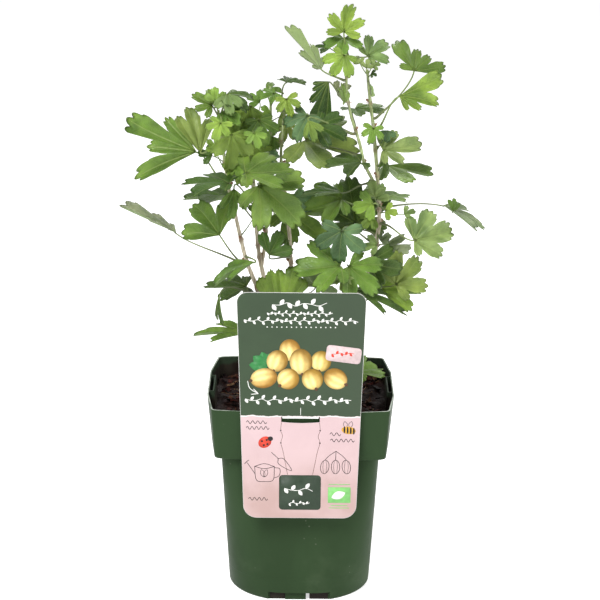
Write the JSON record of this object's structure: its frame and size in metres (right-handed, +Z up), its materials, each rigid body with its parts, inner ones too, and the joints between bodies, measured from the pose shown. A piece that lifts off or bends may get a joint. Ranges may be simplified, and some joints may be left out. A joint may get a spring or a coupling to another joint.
{
  "type": "potted gooseberry bush",
  "caption": "Young gooseberry bush with lobed leaves on thin canes, in a square green nursery pot with a tall label card hung over its rim.",
  "frame": {"origin": "centre of the pot's foot, on the surface that it stands on", "axes": "+Z up, -Y towards the side where the label card hangs, +X to the right as seen from there"},
  "size_m": [0.3173, 0.1629, 0.5068],
  "materials": {
    "pot_plastic": "satin moulded polypropylene, dark green",
    "soil": "loose dark potting compost with bark chips",
    "label_card": "printed plastic card, sage green above and pale pink below",
    "bark": "thin grey-brown bark, greener towards the tips",
    "leaf_blue": "bluish-green sheen of an old leaf",
    "leaf_bright": "young yellow-green leaf",
    "leaf_dark": "dark green shaded leaf",
    "leaf_fresh": "fresh light-green leaf",
    "leaf_grey": "grey-green underside of a leaf",
    "leaf_light": "pale green leaf",
    "leaf_mid": "mid-green leaf, faintly shiny",
    "leaf_olive": "olive-green leaf"
  },
  "bodies": {
    "root": {"cane_left": "bark", "cane_middle": "bark", "cane_middle_left": "bark", "cane_right": "bark", "label_card": "label_card", "leaf_behind_crown": "leaf_mid", "leaf_centre_dark": "leaf_dark", "leaf_centre_grey": "leaf_blue", "leaf_centre_large": "leaf_fresh", "leaf_centre_long": "leaf_fresh", "leaf_centre_side": "leaf_mid", "leaf_front_corner": "leaf_dark", "leaf_front_left": "leaf_mid", "leaf_front_middle": "leaf_mid", "leaf_front_right": "leaf_mid", "leaf_inner_bright": "leaf_fresh", "leaf_left_behind": "leaf_olive", "leaf_left_inner": "leaf_mid", "leaf_left_level": "leaf_dark", "leaf_left_low": "leaf_mid", "leaf_left_lowest": "leaf_mid", "leaf_left_shoot": "leaf_fresh", "leaf_middle_dark": "leaf_dark", "leaf_middle_grey": "leaf_blue", "leaf_middle_left": "leaf_fresh", "leaf_middle_level": "leaf_dark", "leaf_middle_olive": "leaf_olive", "leaf_middle_shade": "leaf_dark", "leaf_on_soil": "leaf_mid", "leaf_rear_left": "leaf_mid", "leaf_rear_low": "leaf_dark", "leaf_rear_middle": "leaf_mid", "leaf_right_dark": "leaf_dark", "leaf_right_far": "leaf_grey", "leaf_right_level": "leaf_mid", "leaf_right_low": "leaf_bright", "leaf_right_olive": "leaf_olive", "leaf_right_pale": "leaf_light", "leaf_right_underside": "leaf_grey", "leaf_right_upper": "leaf_light", "leaf_right_wing": "leaf_mid", "leaf_top_left": "leaf_light", "leaf_upper_far": "leaf_mid", "leaf_upper_level": "leaf_mid", "leaf_upper_right": "leaf_bright", "pot": "pot_plastic", "potting_soil": "soil", "spur_inner": "leaf_fresh", "spur_left": "leaf_mid", "spur_left_base": "leaf_dark", "spur_left_low": "leaf_mid", "spur_left_tip": "leaf_mid", "spur_middle_right": "leaf_blue", "spur_middle_tip": "leaf_bright", "spur_top": "leaf_bright", "spur_top_dark": "leaf_dark", "tuft_middle_tip": "leaf_mid", "tuft_right_tip": "leaf_light", "tuft_right_young": "leaf_bright"}
  },
  "joints": []
}
